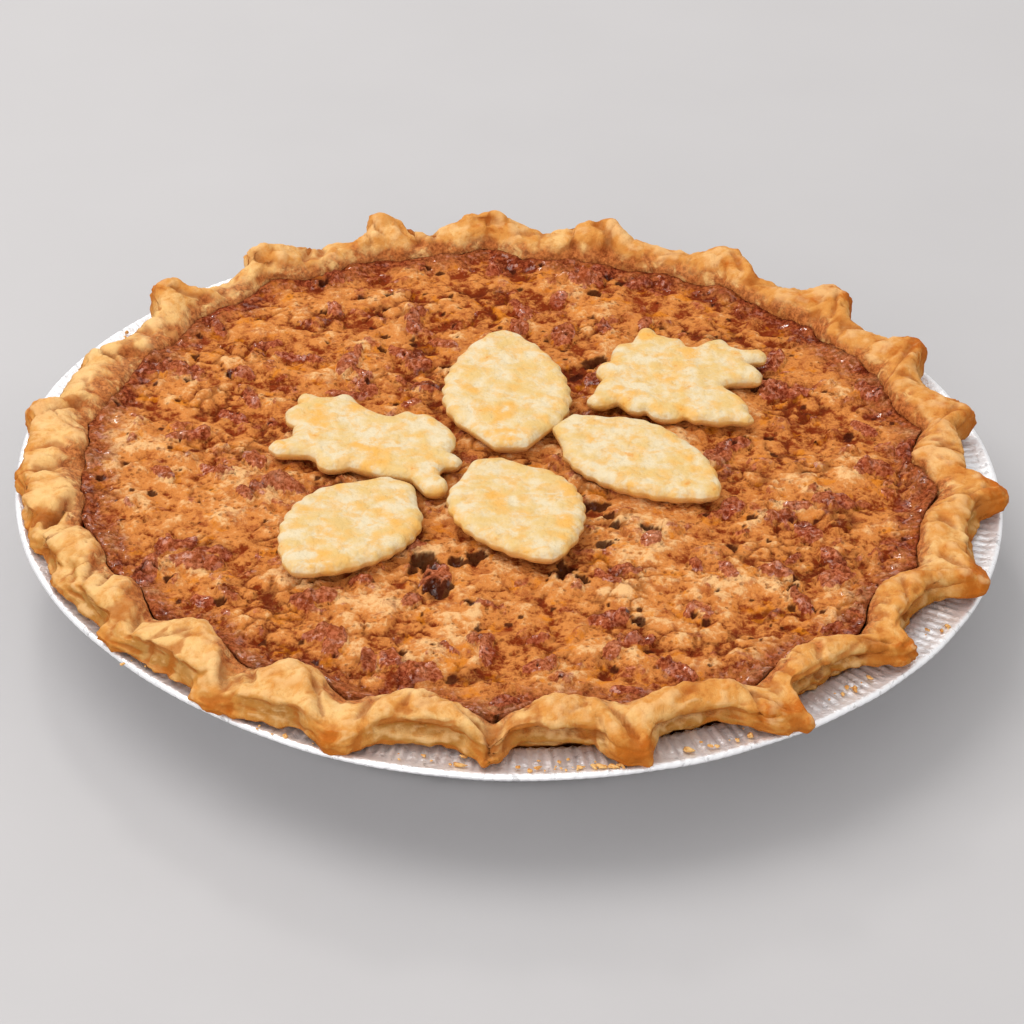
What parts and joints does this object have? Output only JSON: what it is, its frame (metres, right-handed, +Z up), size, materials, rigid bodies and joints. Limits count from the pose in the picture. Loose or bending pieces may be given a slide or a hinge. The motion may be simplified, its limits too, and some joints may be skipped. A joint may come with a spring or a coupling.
{
  "type": "pecan pie",
  "caption": "Whole baked pecan pie with a pinched crust and pastry leaves on top, in a shallow round foil tin.",
  "frame": {"origin": "centre of the tin's flat underside", "axes": "+Z up through the middle of the pie; the side seen in front faces -Y"},
  "size_m": [0.2647, 0.264, 0.0414],
  "materials": {
    "foil": "bright pleated foil",
    "crust": "baked pastry, satin with golden brown patches",
    "filling": "baked pecan filling, rough and partly glossy",
    "leaf": "pale baked pastry, satin"
  },
  "bodies": {
    "root": {"foil_tin": "foil", "crust": "crust", "filling": "filling", "leaf_back": "leaf", "leaf_front": "leaf", "leaf_oval_right": "leaf", "leaf_oval_left": "leaf", "leaf_lobed_right": "leaf", "leaf_lobed_left": "leaf"}
  },
  "joints": []
}
